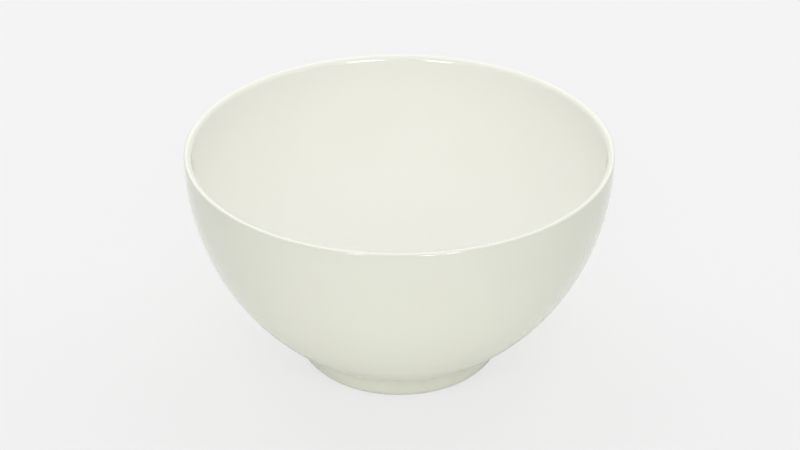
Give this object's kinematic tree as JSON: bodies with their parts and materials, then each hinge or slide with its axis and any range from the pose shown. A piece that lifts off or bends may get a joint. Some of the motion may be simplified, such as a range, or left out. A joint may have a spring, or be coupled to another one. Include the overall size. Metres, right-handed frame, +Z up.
{
  "type": "latte bowl",
  "caption": "Round footed bowl of cream glazed porcelain with a round lip and a tapered foot ring, for milky coffee, soup or cereal.",
  "frame": {"origin": "middle of the bowl on the table that it stands on", "axes": "+Z up along the bowl's axis; X and Y are alike, because the bowl is round"},
  "size_m": [0.14, 0.14, 0.076],
  "materials": {
    "porcelain": "fired and unglazed, fine matt grain",
    "glaze": "clear glossy glaze over cream porcelain"
  },
  "bodies": {
    "root": {"bowl_body": "porcelain", "foot_ring": "porcelain", "glaze_coat": "glaze", "base_glaze": "glaze"}
  },
  "joints": []
}
